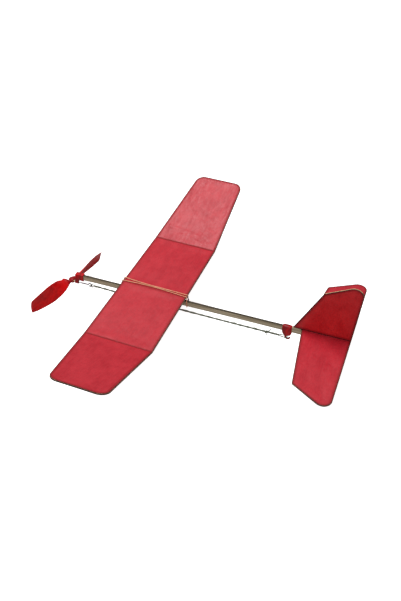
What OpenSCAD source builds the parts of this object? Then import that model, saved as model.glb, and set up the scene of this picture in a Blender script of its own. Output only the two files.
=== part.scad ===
// Rubber band powered stick plane with a tissue covered wing and tail.
// The nose points to -X, the right wing to +Y and the top to +Z. The origin is
// on the motor stick's top face, on its centreline, at the wing's leading edge.

/* [Motor stick] */
// Width of the wooden stick
stick_w = 4; // [3.5:0.5:5]
// Height of the wooden stick
stick_h = 7.5; // [7:0.5:9]
// Length of the stick ahead of the wing's leading edge
stick_ahead = 72; // [70:1:80]
// Length of the stick behind the wing's leading edge
stick_behind = 332; // [325:1:335]

/* [Wing] */
// Chord of the wing, from leading to trailing edge
wing_chord = 100; // [98:1:104]
// Half of the flat centre panel's span
centre_half = 120; // [100:1:140]
// Level span of each upturned tip panel
tip_run = 128.5; // [110:0.5:150]
// Height that each tip panel gains
tip_rise = 48; // [30:0.5:60]
// Distance that the leading edge sweeps back over a tip panel
tip_sweep = 23.5; // [10:0.5:30]
// Radius of the tip's front corner
tip_front_round = 15; // [8:1:18]
// Radius of the tip's rear corner
tip_rear_round = 13; // [8:1:16]
// Height of the leading edge above the stick
leading_height = 9.5; // [9:0.5:12]
// Height of the trailing edge above the stick
trailing_height = 7; // [6:0.5:8]

/* [Covered frames] */
// Width of the wing's wooden strips
strip_w = 3.5; // [3:0.5:5]
// Thickness of the wing's wooden strips
strip_t = 1.5; // [1:0.1:2]
// Width of the tail's wooden strips
tail_strip_w = 3; // [2.5:0.5:4]
// Thickness of the tail's wooden strips
tail_strip_t = 1.2; // [1:0.1:1.5]
// Thickness of the covering, glue and overlap included
cover_t = 0.3; // [0.2:0.05:0.4]

/* [Tail] */
// Place of the stabilizer's leading edge at the root
stab_front = 270; // [262:1:278]
// Place of the straight trailing edge
tail_end = 338.5; // [336:0.5:342]
// Distance that the stabilizer's leading edge sweeps back
stab_sweep = 13.5; // [5:0.5:20]
// Half span at the front corner
stab_front_half = 103.5; // [90:0.5:115]
// Half span at the pointed rear corner, before it is rounded
stab_rear_half = 135.5; // [125:0.5:145]
// Radius of the rear tip corners of the stabilizer and fin
tail_round = 12; // [8:1:14]
// Place of the fin's foot
fin_foot = 258; // [257:1:262]
// Place of the fin's front top corner
fin_corner_x = 293.5; // [290:0.5:302]
// Height of the fin's front top corner
fin_corner_z = 71; // [60:0.5:75]
// Height of the fin's pointed rear corner, before it is rounded
fin_top_z = 99; // [90:1:105]
// Distance that the fin's trailing edge leans back at that height
fin_lean = 7.5; // [0:0.5:10]

/* [Propeller] */
// Place of the blades' middle plane
blade_x = -88.5; // [-90:0.5:-88]
// Distance of the shaft below the stick's top
shaft_drop = 15.5; // [15:0.5:17]
// Advance of the blades in one turn
pitch = 200; // [160:10:240]
// Forward lean of the blades in degrees
blade_cone = 2.2; // [0:0.1:3]
// Turn of the propeller at rest, in degrees
blade_turn = -12; // [-20:1:0]
// Radius of the hub
hub_r = 3.3; // [3:0.1:3.6]
// Diameter of the steel wire
wire_d = 1; // [0.8:0.1:1.2]

/* [Rubber] */
// Radius of the loosely twisted rubber strand
strand_r = 1; // [0.8:0.1:1.2]
// Sag of the strand between its hooks
strand_sag = 1.2; // [0:0.2:3]
// Radius of each run of the wing's rubber band
band_r = 0.75; // [0.6:0.05:0.9]

/* [Hidden] */

wood = "burlywood";
cane = "tan";
tissue = "crimson";
red_plastic = "firebrick";
black = "dimgray";
steel = "silver";
brass = "goldenrod";
grey_rubber = "gray";
tan_rubber = "darksalmon";

round_fn = 48;
small_fn = 24;
arc_steps = 8;
wire_r = wire_d / 2;
running = 0.06;
snug = 0.02;

tip_len = norm([tip_run, tip_rise]);
dihedral = atan2(tip_rise, tip_run);
incidence = asin((leading_height - trailing_height) / wing_chord);
rib_half = 1.5;

collar_wall = 1.4;
nose_front = -stick_ahead - 7;
nose_rear = -stick_ahead + 6;
tube_front = -stick_ahead - 9.5;
tube_rear = -stick_ahead - 4.5;
tube_r = 2.6;
hub_front = blade_x - 4;
hub_rear = blade_x + 4.5;
washer_t = 0.4;
bead_r = 1.1;

ring_x = -57;
ring_r = 2.7;
bend_r = 1.5;
bend_angle = 60;
loop_r = 0.7;
loop_bend = 1.95;
front_loop_x = -53.8;
junction_x = -45;
junction_gap = 0.15;

hook_front = 243;
hook_rear = 256;
hook_r = 3.0;
hook_bar = 1.25;
hook_x = 251.5;
hook_z = -19.3;
rear_loop_x = 249;
rear_loop_z = -19.6;
rear_loop_bend = 2.25;
rear_junction_x = 234;
knot_x = 222;

function unit(v) = v / norm(v);
function mix(a, b, s) = a + (b - a) * s;
function turn(a, b) = (b - a + 540) % 360 - 180;

// Points of an arc about c from angle a to angle b, by the shorter way round.
function arc(c, r, a, b) = [for (i = [0:arc_steps]) c + r * [cos(a + turn(a, b) * i / arc_steps),
    sin(a + turn(a, b) * i / arc_steps)]];

// A corner at p between the edges to a and b, as [centre, first angle, last angle].
function corner(a, p, b, r) = let(u = unit(a - p), w = unit(b - p), half = acos(u * w) / 2,
    c = p + unit(u + w) * r / sin(half), s = p + u * r / tan(half), e = p + w * r / tan(half))
    [c, atan2(s.y - c.y, s.x - c.x), atan2(e.y - c.y, e.x - c.x)];
function corner_arc(k, r) = arc(k[0], r, k[1], k[2]);

// A smooth curve through the points p, where s counts them from 0.
function along(p, s) = let(n = len(p) - 1, i = min(floor(s), n - 1), t = s - i,
    a = p[max(i - 1, 0)], b = p[i], c = p[i + 1], d = p[min(i + 2, n)])
    b + t * ((c - a) + t * ((2 * a - 5 * b + 4 * c - d) + t * (3 * (b - c) + d - a))) / 2;

function backwards(list) = [for (i = [len(list) - 1:-1:0]) list[i]];

// Faces of a tube of rings with n points each, closed at both ends.
function tube_faces(rings, n) = concat(
    [[for (j = [0:n - 1]) j]],
    [for (i = [0:rings - 2], j = [0:n - 1]) let(k = (j + 1) % n)
        each [[i * n + j, (i + 1) * n + j, (i + 1) * n + k], [i * n + j, (i + 1) * n + k, i * n + k]]],
    [[for (j = [n - 1:-1:0]) (rings - 1) * n + j]]);

// A round tube of radius r swept along the points of route, for routes that never run along side.
module swept(route, r, sides = 8, side = [0, 0.05, 1]) {
    last = len(route) - 1;
    rings = [for (i = [0:last]) let(
        t = unit(route[min(i + 1, last)] - route[max(i - 1, 0)]),
        a = unit(cross(t, side)), b = cross(t, a))
        each [for (j = [0:sides - 1]) route[i] + r * (a * cos(360 * j / sides) + b * sin(360 * j / sides))]];
    polyhedron(rings, tube_faces(last + 1, sides), convexity = 10);
}

// ---- Motor stick and what is fixed on it ----

module motor_stick() {
    color(wood) translate([-stick_ahead, -stick_w / 2, -stick_h])
        cube([stick_ahead + stick_behind, stick_w, stick_h]);
}

module stick_slot(x0, x1) {
    translate([x0, -stick_w / 2 - snug, -stick_h - snug])
        cube([x1 - x0, stick_w + 2 * snug, stick_h + 2 * snug]);
}

module collar(x0, x1) {
    translate([x0, -stick_w / 2 - collar_wall, -stick_h - collar_wall])
        cube([x1 - x0, stick_w + 2 * collar_wall, stick_h + 2 * collar_wall]);
}

module along_shaft(x0, x1, r, fn = round_fn) {
    translate([x0, 0, -shaft_drop]) rotate([0, 90, 0]) cylinder(h = x1 - x0, r = r, $fn = fn);
}

module nose_bearing() {
    web_w = 3.4;
    color(red_plastic) difference() {
        union() {
            collar(nose_front, nose_rear);
            along_shaft(tube_front, tube_rear, tube_r);
            translate([tube_front, -web_w / 2, -shaft_drop])
                cube([tube_rear - tube_front, web_w, shaft_drop - stick_h]);
        }
        stick_slot(-stick_ahead, nose_rear + 1);
        along_shaft(tube_front - 1, tube_rear + 1, wire_r + running);
    }
}

module thrust_washers() {
    washer_r = 2.3;
    color(brass) for (x = [hub_rear + 0.05, tube_front - washer_t - 0.05]) difference() {
        along_shaft(x, x + washer_t, washer_r);
        along_shaft(x - 1, x + washer_t + 1, wire_r + running);
    }
}

module thrust_bead() {
    middle = (hub_rear + tube_front) / 2;
    color("white") difference() {
        along_shaft(middle - bead_r / 2, middle + bead_r / 2, 1.7);
        along_shaft(middle - 2, middle + 2, wire_r + running);
    }
}

// Leading and trailing edges of one blade, as [radius, distance ahead of the blade's axis].
lead_edge = [[10, 3], [14, 7.2], [18, 9.2], [26, 10.8], [38, 12], [54, 12.9], [72, 12.4], [90, 11.4],
    [98, 10.4], [101.5, 7.5]];
trail_edge = [[10, -1.5], [14, -3.4], [18, -4.9], [26, -6.7], [38, -8.6], [54, -10], [72, -9.2],
    [90, -7.2], [99, -5.8], [104, -4.9]];
blade_rings = 28;
blade_side = 6;

// One point of the blade that reaches to +Y: s runs from the trailing edge (0) to the leading edge (1).
function blade_point(u, s, side) = let(
    edge = mix(along(trail_edge, u), along(lead_edge, u), s),
    beta = atan(pitch / (2 * PI * edge.x)),
    chord = norm(along(lead_edge, u) - along(trail_edge, u)),
    bulge = 4 * s * (1 - s),
    half = mix(0.9, 0.45, edge.x / 104) * (0.35 + 0.65 * bulge),
    lift = 0.05 * chord * bulge + side * half)
    [-edge.y * sin(beta) - lift * cos(beta) - edge.x * sin(blade_cone), edge.x,
        -edge.y * cos(beta) + lift * sin(beta)];

module blade() {
    n = 2 * (blade_side + 1);
    rings = [for (i = [0:blade_rings - 1]) let(u = (len(lead_edge) - 1) * i / (blade_rings - 1))
        each concat([for (j = [0:blade_side]) blade_point(u, j / blade_side, -1)],
            [for (j = [blade_side:-1:0]) blade_point(u, j / blade_side, 1)])];
    polyhedron(rings, tube_faces(blade_rings, n), convexity = 10);
}

module propeller() {
    arm_r = 2.2;
    arm_reach = 13;
    boss_r = 3.2;
    color(red_plastic) difference() {
        union() {
            along_shaft(hub_front, hub_rear, hub_r);
            translate([blade_x, 0, -shaft_drop]) rotate([blade_turn, 0, 0]) {
                rotate([90, 0, 0]) cylinder(h = 2 * arm_reach, r = arm_r, center = true, $fn = small_fn);
                for (half_turn = [0, 180]) rotate([half_turn, 0, 0]) {
                    blade();
                    translate([0, arm_reach, 0]) sphere(r = boss_r, $fn = small_fn);
                }
            }
        }
        along_shaft(hub_front - 1, hub_rear + 1, wire_r + running);
    }
}

// A piece of bent wire in the X-Z plane about the shaft: an arc from angle a over sweep degrees.
module wire_arc(x, z, r, a, sweep) {
    translate([x, 0, z - shaft_drop]) rotate([90, -a, 0])
        rotate_extrude(angle = sweep, $fn = round_fn) translate([r, 0]) circle(r = wire_r, $fn = small_fn);
}

// A slight swelling where two stretches of wire join.
module wire_joint(x, z) {
    translate([x, 0, z - shaft_drop]) sphere(r = wire_r + 0.04, $fn = small_fn);
}

module prop_shaft() {
    entry = 180 - (90 - bend_angle);
    on_ring = ring_r * [cos(entry), sin(entry)];
    rise = on_ring.y - bend_r * (1 - cos(bend_angle));
    straight = rise / sin(bend_angle);
    bend_end = [ring_x + on_ring.x - straight * cos(bend_angle), on_ring.y - rise];
    bend_x = bend_end.x - bend_r * sin(bend_angle);
    color(steel) {
        along_shaft(hub_front - 0.6, bend_x, wire_r, small_fn);
        wire_joint(bend_x, 0);
        wire_arc(bend_x, bend_r, bend_r, -90, bend_angle);
        wire_joint(bend_end.x, bend_end.y);
        translate([bend_end.x, 0, bend_end.y - shaft_drop]) rotate([0, 90 - bend_angle, 0])
            cylinder(h = straight, r = wire_r, $fn = small_fn);
        wire_joint(ring_x + on_ring.x, on_ring.y);
        wire_arc(ring_x, 0, ring_r, entry - 300, 300);
    }
}

// ---- Rubber motor ----

// A rubber leg between two points at the height z.
module leg(from, to, z, r) {
    reach = norm(to - from);
    translate([from.x, from.y, z]) rotate([0, 0, atan2(to.y - from.y, to.x - from.x)]) rotate([0, 90, 0])
        cylinder(h = reach, r = r, $fn = small_fn);
}

// A hairpin of rubber: a half ring about x, with two legs that meet at the place join.
module hairpin(x, join, z, bend) {
    facing = join > x ? 90 : -90;
    translate([x, 0, z]) rotate([0, 0, facing])
        rotate_extrude(angle = 180, $fn = round_fn) translate([bend, 0]) circle(r = loop_r, $fn = small_fn);
    for (s = [-1, 1]) leg([x, s * bend], [join, s * loop_r * 0.6], z, loop_r);
}

module rubber_front_loop() {
    neck = 1.5;
    color(grey_rubber) {
        hairpin(front_loop_x, junction_x - neck, -shaft_drop, loop_bend);
        along_shaft(junction_x - 2 * neck, junction_x - junction_gap, strand_r + 0.2, small_fn);
    }
}

function strand_point(x) = let(s = (x - junction_x) / (rear_junction_x - junction_x))
    [x, 0, mix(-shaft_drop, rear_loop_z, s) - strand_sag * 4 * s * (1 - s)];

module rubber_motor() {
    rings = 40;
    color(grey_rubber) swept([for (i = [0:rings])
        strand_point(mix(junction_x, rear_junction_x, i / rings))], strand_r);
}

module rubber_knot() {
    turns = 2.5;
    steps = 12;
    knot_r = strand_r + loop_r + 0.1;
    hub = strand_point(knot_x);
    low_tail = [hub + [6.4, -12.6, -2.6], hub + [4.6, -9, -3.2], hub + [1.6, -5, -3]];
    high_tail = [hub + [4.2, 1, 3], hub + [5.6, 1.4, 6.5]];
    color(grey_rubber) swept(concat(low_tail,
        [for (i = [0:turns * steps]) hub + [-1.8 + 3.2 * i / (turns * steps),
            -knot_r * sin(360 * i / steps + 20), -knot_r * cos(360 * i / steps + 20)]],
        high_tail), loop_r - 0.1, 8, [1, 0.2, 0.15]);
}

module rubber_rear_loop() {
    neck = 1.5;
    color(grey_rubber) {
        hairpin(rear_loop_x, rear_junction_x + neck, rear_loop_z, rear_loop_bend);
        translate([rear_junction_x + 0.05, 0, rear_loop_z]) rotate([0, 90, 0])
            cylinder(h = 2 * neck, r = strand_r + 0.2, $fn = small_fn);
    }
}

module rear_hook() {
    thick = 2;
    color(red_plastic) {
        difference() {
            collar(hook_front, hook_rear);
            stick_slot(hook_front - 1, hook_rear + 1);
        }
        translate([0, thick / 2, 0]) rotate([90, 0, 0]) linear_extrude(thick) {
            difference() {
                translate([hook_x, hook_z]) circle(r = hook_r + hook_bar, $fn = round_fn);
                translate([hook_x, hook_z]) circle(r = hook_r - hook_bar, $fn = round_fn);
                translate([hook_x - 10, hook_z]) square([20, 20]);
            }
            translate([hook_x - hook_r - hook_bar, hook_z])
                square([2 * hook_bar, -hook_z - stick_h - collar_wall + 0.2]);
            translate([hook_x + hook_r, hook_z]) circle(r = hook_bar, $fn = small_fn);
        }
    }
}

// ---- Wing ----

// Puts flat wing work in place: X runs along the chord and Z = 0 is the covering's top.
module on_wing() {
    translate([0, 0, leading_height]) rotate([0, incidence, 0]) children();
}

// Puts tip work in place: Y = 0 is the fold, and side is 1 on the right wing and -1 on the left.
module on_tip(side) {
    mirror([0, side < 0 ? 1 : 0, 0]) on_wing()
        translate([0, centre_half, 0]) rotate([dihedral, 0, 0]) children();
}

module slab(points, top, thick) {
    translate([0, 0, top - thick]) linear_extrude(thick) polygon(points);
}

function lead_x(v) = tip_sweep * v / tip_len;
tip_front = corner([0, 0], [tip_sweep, tip_len], [wing_chord, tip_len], tip_front_round);
tip_rear = corner([tip_sweep, tip_len], [wing_chord, tip_len], [wing_chord, 0], tip_rear_round);

module centre_strip(x0) {
    color(cane) on_wing() translate([x0, -centre_half + rib_half, -cover_t - strip_t])
        cube([strip_w, 2 * (centre_half - rib_half), strip_t]);
}

module centre_leading_strip() centre_strip(0);
module centre_trailing_strip() centre_strip(wing_chord - strip_w);

module centre_rib() {
    color(cane) on_wing() translate([strip_w, -strip_w / 2, -cover_t - strip_t])
        cube([wing_chord - 2 * strip_w, strip_w, strip_t]);
}

// The rib that fills the fold, bevelled to fit both panels.
module break_rib(side) {
    low = -cover_t - strip_t;
    bevel = tan(dihedral / 2);
    function on_panel(v, z) = [v * cos(dihedral) - z * sin(dihedral), v * sin(dihedral) + z * cos(dihedral)];
    section = [[-rib_half, low], [-low * bevel, low], on_panel(rib_half, low), on_panel(rib_half, -cover_t),
        [cover_t * bevel, -cover_t], [-rib_half, -cover_t]];
    color(cane) mirror([0, side < 0 ? 1 : 0, 0]) on_wing() translate([0, centre_half, 0])
        rotate([90, 0, 90]) linear_extrude(wing_chord) polygon(section);
}

module left_break_rib() break_rib(-1);
module right_break_rib() break_rib(1);

module tip_leading(side) {
    first = corner_arc(tip_front, tip_front_round)[0];
    inner = corner_arc(tip_front, tip_front_round - strip_w)[0];
    along_edge = unit([tip_sweep, tip_len]);
    start = [lead_x(rib_half), rib_half];
    inner_start = [lead_x(rib_half) + strip_w / along_edge.y, rib_half];
    color(cane) on_tip(side) slab([start, first, inner, inner_start], -cover_t, strip_t);
}

module tip_end(side) {
    outer = concat(corner_arc(tip_front, tip_front_round), corner_arc(tip_rear, tip_rear_round));
    inner = concat(corner_arc(tip_front, tip_front_round - strip_w),
        corner_arc(tip_rear, tip_rear_round - strip_w));
    color(cane) on_tip(side) slab(concat(outer, backwards(inner)), -cover_t, strip_t);
}

module tip_trailing(side) {
    stop = tip_len - tip_rear_round;
    color(cane) on_tip(side) slab([[wing_chord - strip_w, rib_half], [wing_chord - strip_w, stop],
        [wing_chord, stop], [wing_chord, rib_half]], -cover_t, strip_t);
}

module tip_covering(side) {
    color(tissue) on_tip(side) slab(concat([[0, 0]], corner_arc(tip_front, tip_front_round),
        corner_arc(tip_rear, tip_rear_round), [[wing_chord, 0]]), 0, cover_t);
}

module left_tip_leading() tip_leading(-1);
module left_tip_end() tip_end(-1);
module left_tip_trailing() tip_trailing(-1);
module left_tip_covering() tip_covering(-1);
module right_tip_leading() tip_leading(1);
module right_tip_end() tip_end(1);
module right_tip_trailing() tip_trailing(1);
module right_tip_covering() tip_covering(1);

module centre_covering() {
    color(tissue) on_wing() translate([0, -centre_half, -cover_t]) cube([wing_chord, 2 * centre_half, cover_t]);
}

// ---- Wing mount ----

rail_front = 8;
rail_rear = 92;
rail_t = 1.2;
lip_t = 0.9;
lip_drop = 2.4;
post_len = 5;
slide_gap = 0.05;
clip_y = 1;

function under_wing(x) = leading_height - (x * sin(incidence)) - (cover_t + strip_t) / cos(incidence) - 0.05;

module wing_mount() {
    outer_w = stick_w + 2 * slide_gap + 2 * lip_t;
    color(black) difference() {
        union() {
            translate([rail_front, -outer_w / 2, -lip_drop])
                cube([rail_rear - rail_front, outer_w, lip_drop + rail_t]);
            for (x = [rail_front, rail_rear - post_len]) translate([0, 1.7, 0]) rotate([90, 0, 0])
                linear_extrude(3.4) polygon([[x, rail_t - 0.2], [x, under_wing(x)],
                    [x + post_len, under_wing(x + post_len)], [x + post_len, rail_t - 0.2]]);
        }
        translate([rail_front - 1, -stick_w / 2 - slide_gap, -lip_drop - 1])
            cube([rail_rear - rail_front + 2, stick_w + 2 * slide_gap, lip_drop + 1 + slide_gap]);
    }
}

// Bent wires that reach from the mount round the wing's two edges.
module front_wing_clip() {
    r = 0.5;
    x = rail_front - r - 0.1;
    color(black) swept([[x, clip_y, 1.9], [x, clip_y, 4], [x - 1.2, clip_y, 5.6], [x - 5, clip_y, 6],
        [-1.2, clip_y, 6.3], [-1.9, clip_y, 7.4], [-1.4, clip_y, 10.2]], r, 8, [0, 1, 0]);
}

module rear_wing_clip() {
    r = 0.55;
    x = rail_rear + r + 0.1;
    edge = wing_chord + 0.9;
    color(black) swept([[x, clip_y, 2.8], [x, clip_y, 1.4], [x + 1.2, clip_y, 0.75], [edge, clip_y, 0.7],
        [edge + 2, clip_y, 1.1], [edge + 2.6, clip_y, 2.6], [edge + 1.7, clip_y, 4.6],
        [edge, clip_y, 7.4]], r, 8, [0, 1, 0]);
}

// The band's closed route: two runs over the wing, hooked under the stick at each end.
band_bend = band_r + 0.15;
band_front = -2.4;
band_rear = wing_chord + 1.6;
function wing_top(x) = leading_height - x * sin(incidence) + band_r + 0.1;

// Round the stick's lower edge on one side (-1 or 1), from beneath it to beside it.
function under_stick(x, side) = [for (a = [0, 45, 90])
    [x, side * (stick_w / 2 + band_bend * sin(a)), -stick_h - band_bend * cos(a)]];

// Over an edge of the wing at x and z, from outside it (out is -1 or 1) at y0 to above it at y1.
function over_edge(x, z, out, y0, y1) = [for (a = [0, 45, 90])
    [x + out * band_bend * cos(a), mix(y0, y1, a / 90), z + band_bend * sin(a)]];

band_route = concat(
    [[band_front, 0, -stick_h - band_bend]], under_stick(band_front, 1), [[band_front, 3.5, 2]],
    over_edge(0, leading_height, -1, 6.5, 6.9),
    [[4, 6.8, wing_top(4)], [30, 4.9, wing_top(30)], [62, 4.5, wing_top(62)], [96, 4.3, wing_top(96)]],
    backwards(over_edge(wing_chord, trailing_height, 1, 3.9, 4.2)),
    backwards(under_stick(band_rear, 1)), under_stick(band_rear, -1), [[band_rear, -3, 0.3]],
    over_edge(wing_chord, trailing_height, 1, -1, -0.4),
    [[96, -0.2, wing_top(96)], [62, 2.2, wing_top(62)], [30, 2.1, wing_top(30)], [4, 0.2, wing_top(4)]],
    backwards(over_edge(0, leading_height, -1, -0.45, 0)),
    [[band_front, -3.25, 2]], backwards(under_stick(band_front, -1)),
    [[band_front, -0.25, -stick_h - band_bend]]);

module wing_band() {
    color(tan_rubber) swept(band_route, band_r, 8, [0.35, 0.62, 0.7]);
}

// ---- Tail ----

stab_corner = [stab_front + stab_sweep, stab_front_half];
stab_front_round = 4;
stab_a = corner([stab_front, 0], stab_corner, [tail_end, stab_rear_half], stab_front_round);
stab_b = corner(stab_corner, [tail_end, stab_rear_half], [tail_end, 0], tail_round);
stab_top = tail_strip_t + cover_t;

module on_side(side) mirror([0, side < 0 ? 1 : 0, 0]) children();

module stab_leading(side) {
    edge = unit(stab_corner - [stab_front, 0]);
    last = corner_arc(stab_a, stab_front_round)[0];
    inner = corner_arc(stab_a, stab_front_round - tail_strip_w)[0];
    color(cane) on_side(side) slab([[stab_front, 0], last, inner, [stab_front + tail_strip_w / edge.y, 0]],
        tail_strip_t, tail_strip_t);
}

module stab_tip(side) {
    outer = concat(corner_arc(stab_a, stab_front_round), corner_arc(stab_b, tail_round));
    inner = concat(corner_arc(stab_a, stab_front_round - tail_strip_w),
        corner_arc(stab_b, tail_round - tail_strip_w));
    color(cane) on_side(side) slab(concat(outer, backwards(inner)), tail_strip_t, tail_strip_t);
}

module stab_leading_left() stab_leading(-1);
module stab_leading_right() stab_leading(1);
module stab_tip_left() stab_tip(-1);
module stab_tip_right() stab_tip(1);

module stab_trailing() {
    reach = stab_b[0].y;
    color(cane) translate([tail_end - tail_strip_w, -reach, 0]) cube([tail_strip_w, 2 * reach, tail_strip_t]);
}

module stab_covering() {
    half = concat(corner_arc(stab_a, stab_front_round), corner_arc(stab_b, tail_round));
    color(tissue) slab(concat([[stab_front, 0]], half, [for (p = backwards(half)) [p.x, -p.y]]), stab_top, cover_t);
}

module tail_packer() {
    color(wood) translate([fin_foot - 1, -stick_w / 2, 0])
        cube([stab_front - fin_foot + 0.5, stick_w, stab_top]);
}

// The fin's outline stands on the stabilizer, so its Y is the model's Z.
function fin_rear(z) = tail_end + fin_lean * z / fin_top_z;
fin_floor = stab_top;
fin_corner = [fin_corner_x, fin_corner_z];
fin_peak = [fin_rear(fin_top_z), fin_top_z];
fin_tail = [fin_rear(fin_floor), fin_floor];
fin_front_round = 4;
fin_toe = [fin_foot, fin_floor];
fin_a = corner(fin_toe, fin_corner, fin_peak, fin_front_round);
fin_b = corner(fin_corner, fin_peak, fin_tail, tail_round);
fin_edge = unit(fin_corner - fin_toe);
fin_inward = [fin_edge.y, -fin_edge.x];

// Stands a flat outline up on the centreline, from y0 to y1.
module upright(points, y0, y1) {
    translate([0, y1, 0]) rotate([90, 0, 0]) linear_extrude(y1 - y0) polygon(points);
}

module fin_strip(points) color(cane) upright(points, -tail_strip_t / 2, tail_strip_t / 2);

// Where the leading strip's inner edge comes down to the height z.
function fin_inside(z) = let(p = fin_toe + fin_inward * tail_strip_w)
    [p.x + (z - p.y) * fin_edge.x / fin_edge.y, z];

module fin_base() {
    top = fin_floor + tail_strip_w;
    fin_strip([fin_inside(fin_floor), fin_tail - [tail_strip_w, 0],
        [fin_rear(top) - tail_strip_w, top], fin_inside(top)]);
}

module fin_leading() {
    fin_strip([fin_toe, fin_inside(fin_floor), corner_arc(fin_a, fin_front_round - tail_strip_w)[0],
        corner_arc(fin_a, fin_front_round)[0]]);
}

module fin_top() {
    outer = concat(corner_arc(fin_a, fin_front_round), corner_arc(fin_b, tail_round));
    inner = concat(corner_arc(fin_a, fin_front_round - tail_strip_w),
        corner_arc(fin_b, tail_round - tail_strip_w));
    fin_strip(concat(outer, backwards(inner)));
}

module fin_trailing() {
    last = corner_arc(fin_b, tail_round)[arc_steps];
    inner = corner_arc(fin_b, tail_round - tail_strip_w)[arc_steps];
    fin_strip([fin_tail, last, inner, fin_tail - [tail_strip_w, 0]]);
}

module fin_covering() {
    color(tissue) upright(concat([fin_toe], corner_arc(fin_a, fin_front_round), corner_arc(fin_b, tail_round),
        [fin_tail]), -tail_strip_t / 2 - cover_t, -tail_strip_t / 2);
}

motor_stick();
nose_bearing();
thrust_washers();
thrust_bead();
propeller();
prop_shaft();
rubber_front_loop();
rubber_motor();
rubber_knot();
rubber_rear_loop();
rear_hook();
centre_leading_strip();
centre_trailing_strip();
centre_rib();
left_break_rib();
right_break_rib();
left_tip_leading();
left_tip_end();
left_tip_trailing();
right_tip_leading();
right_tip_end();
right_tip_trailing();
centre_covering();
left_tip_covering();
right_tip_covering();
wing_mount();
front_wing_clip();
rear_wing_clip();
wing_band();
stab_leading_left();
stab_leading_right();
stab_trailing();
stab_tip_left();
stab_tip_right();
stab_covering();
tail_packer();
fin_base();
fin_leading();
fin_top();
fin_trailing();
fin_covering();
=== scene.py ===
import math

import bmesh
import bpy
from mathutils import Matrix, Quaternion, Vector, noise


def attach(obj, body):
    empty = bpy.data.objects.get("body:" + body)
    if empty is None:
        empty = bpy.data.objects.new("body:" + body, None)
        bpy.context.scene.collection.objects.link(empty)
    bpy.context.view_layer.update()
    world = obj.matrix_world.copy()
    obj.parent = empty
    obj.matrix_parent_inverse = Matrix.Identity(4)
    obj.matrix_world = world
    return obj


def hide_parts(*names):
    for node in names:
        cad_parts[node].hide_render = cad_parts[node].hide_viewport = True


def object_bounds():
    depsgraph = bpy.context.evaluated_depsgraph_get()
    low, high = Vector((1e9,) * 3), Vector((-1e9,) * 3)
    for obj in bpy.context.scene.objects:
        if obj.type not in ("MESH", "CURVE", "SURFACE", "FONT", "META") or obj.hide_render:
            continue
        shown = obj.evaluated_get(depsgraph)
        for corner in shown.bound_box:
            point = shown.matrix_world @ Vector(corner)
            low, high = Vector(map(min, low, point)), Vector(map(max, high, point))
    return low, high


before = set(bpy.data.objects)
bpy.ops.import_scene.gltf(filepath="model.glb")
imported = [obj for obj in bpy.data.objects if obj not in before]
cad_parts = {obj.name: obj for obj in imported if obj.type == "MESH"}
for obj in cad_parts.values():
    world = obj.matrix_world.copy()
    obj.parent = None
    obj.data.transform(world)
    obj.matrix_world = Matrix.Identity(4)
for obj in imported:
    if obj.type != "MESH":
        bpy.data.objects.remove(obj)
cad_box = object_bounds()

# Lengths are in millimetres until to_metres(), as in part.scad.
MM = 0.001

# ---- The same measures as part.scad ----
STICK_W, STICK_H = 4, 7.5
CHORD, CENTRE_HALF = 100, 120
TIP_RUN, TIP_RISE, TIP_SWEEP = 128.5, 48, 23.5
TIP_FRONT_ROUND, TIP_REAR_ROUND = 15, 13
LEADING_HEIGHT, TRAILING_HEIGHT = 9.5, 7
STRIP_W, TAIL_STRIP_W, TAIL_STRIP_T, COVER_T = 3.5, 3, 1.2, 0.3
STAB_FRONT, STAB_SWEEP, STAB_FRONT_HALF, STAB_REAR_HALF = 270, 13.5, 103.5, 135.5
TAIL_END, TAIL_ROUND, TAIL_FRONT_ROUND = 338.5, 12, 4
FIN_FOOT, FIN_CORNER, FIN_TOP_Z, FIN_LEAN = 258, (293.5, 71), 99, 7.5
SHAFT_Z = -15.5
JUNCTION_X, REAR_JUNCTION_X, REAR_LOOP_Z, STRAND_SAG = -45, 234, -19.6, 1.2
KNOT_X = 222
TIP_LEN = math.hypot(TIP_RUN, TIP_RISE)
DIHEDRAL = math.atan2(TIP_RISE, TIP_RUN)
INCIDENCE = math.asin((LEADING_HEIGHT - TRAILING_HEIGHT) / CHORD)

WING = Matrix.Translation((0, 0, LEADING_HEIGHT)) @ Matrix.Rotation(INCIDENCE, 4, "Y")
TIP = WING @ Matrix.Translation((0, CENTRE_HALF, 0)) @ Matrix.Rotation(DIHEDRAL, 4, "X")
MIRROR = Matrix.Diagonal((1, -1, 1, 1))


# ---- Camera, floor and light ----

def make_camera():
    """The camera, with its angles, place and lens fitted to the photograph. The aims are how far it
    stands to the right of the line to the origin, and above it."""
    azimuth, elevation, roll = (math.radians(a) for a in (20.6, 40.01, 0.31))
    aim_right, aim_up, distance = 0.11372, -0.0222, 1.02713
    back = Vector((math.sin(azimuth) * math.cos(elevation),
                   -math.cos(azimuth) * math.cos(elevation), math.sin(elevation)))
    level = Vector((math.cos(azimuth), math.sin(azimuth), 0))
    upright = back.cross(level)
    right = level * math.cos(roll) + upright * math.sin(roll)
    up = upright * math.cos(roll) - level * math.sin(roll)
    data = bpy.data.cameras.new("camera")
    data.sensor_width, data.lens = 36, 41.642596
    data.clip_start, data.clip_end = 0.01, 20
    camera = bpy.data.objects.new("camera", data)
    bpy.context.scene.collection.objects.link(camera)
    place = right * aim_right + up * aim_up + back * distance
    turn = Matrix((right, up, back)).transposed().to_4x4()
    camera.matrix_world = Matrix.Translation(place) @ turn
    bpy.context.scene.camera = camera


def area_light(name, place, target, size, power):
    data = bpy.data.lights.new(name, "AREA")
    data.shape, data.size, data.energy = "DISK", size, power
    light = bpy.data.objects.new(name, data)
    bpy.context.scene.collection.objects.link(light)
    light.location = place
    light.rotation_mode = "QUATERNION"
    light.rotation_quaternion = (Vector(target) - Vector(place)).to_track_quat("-Z", "Y")


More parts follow.
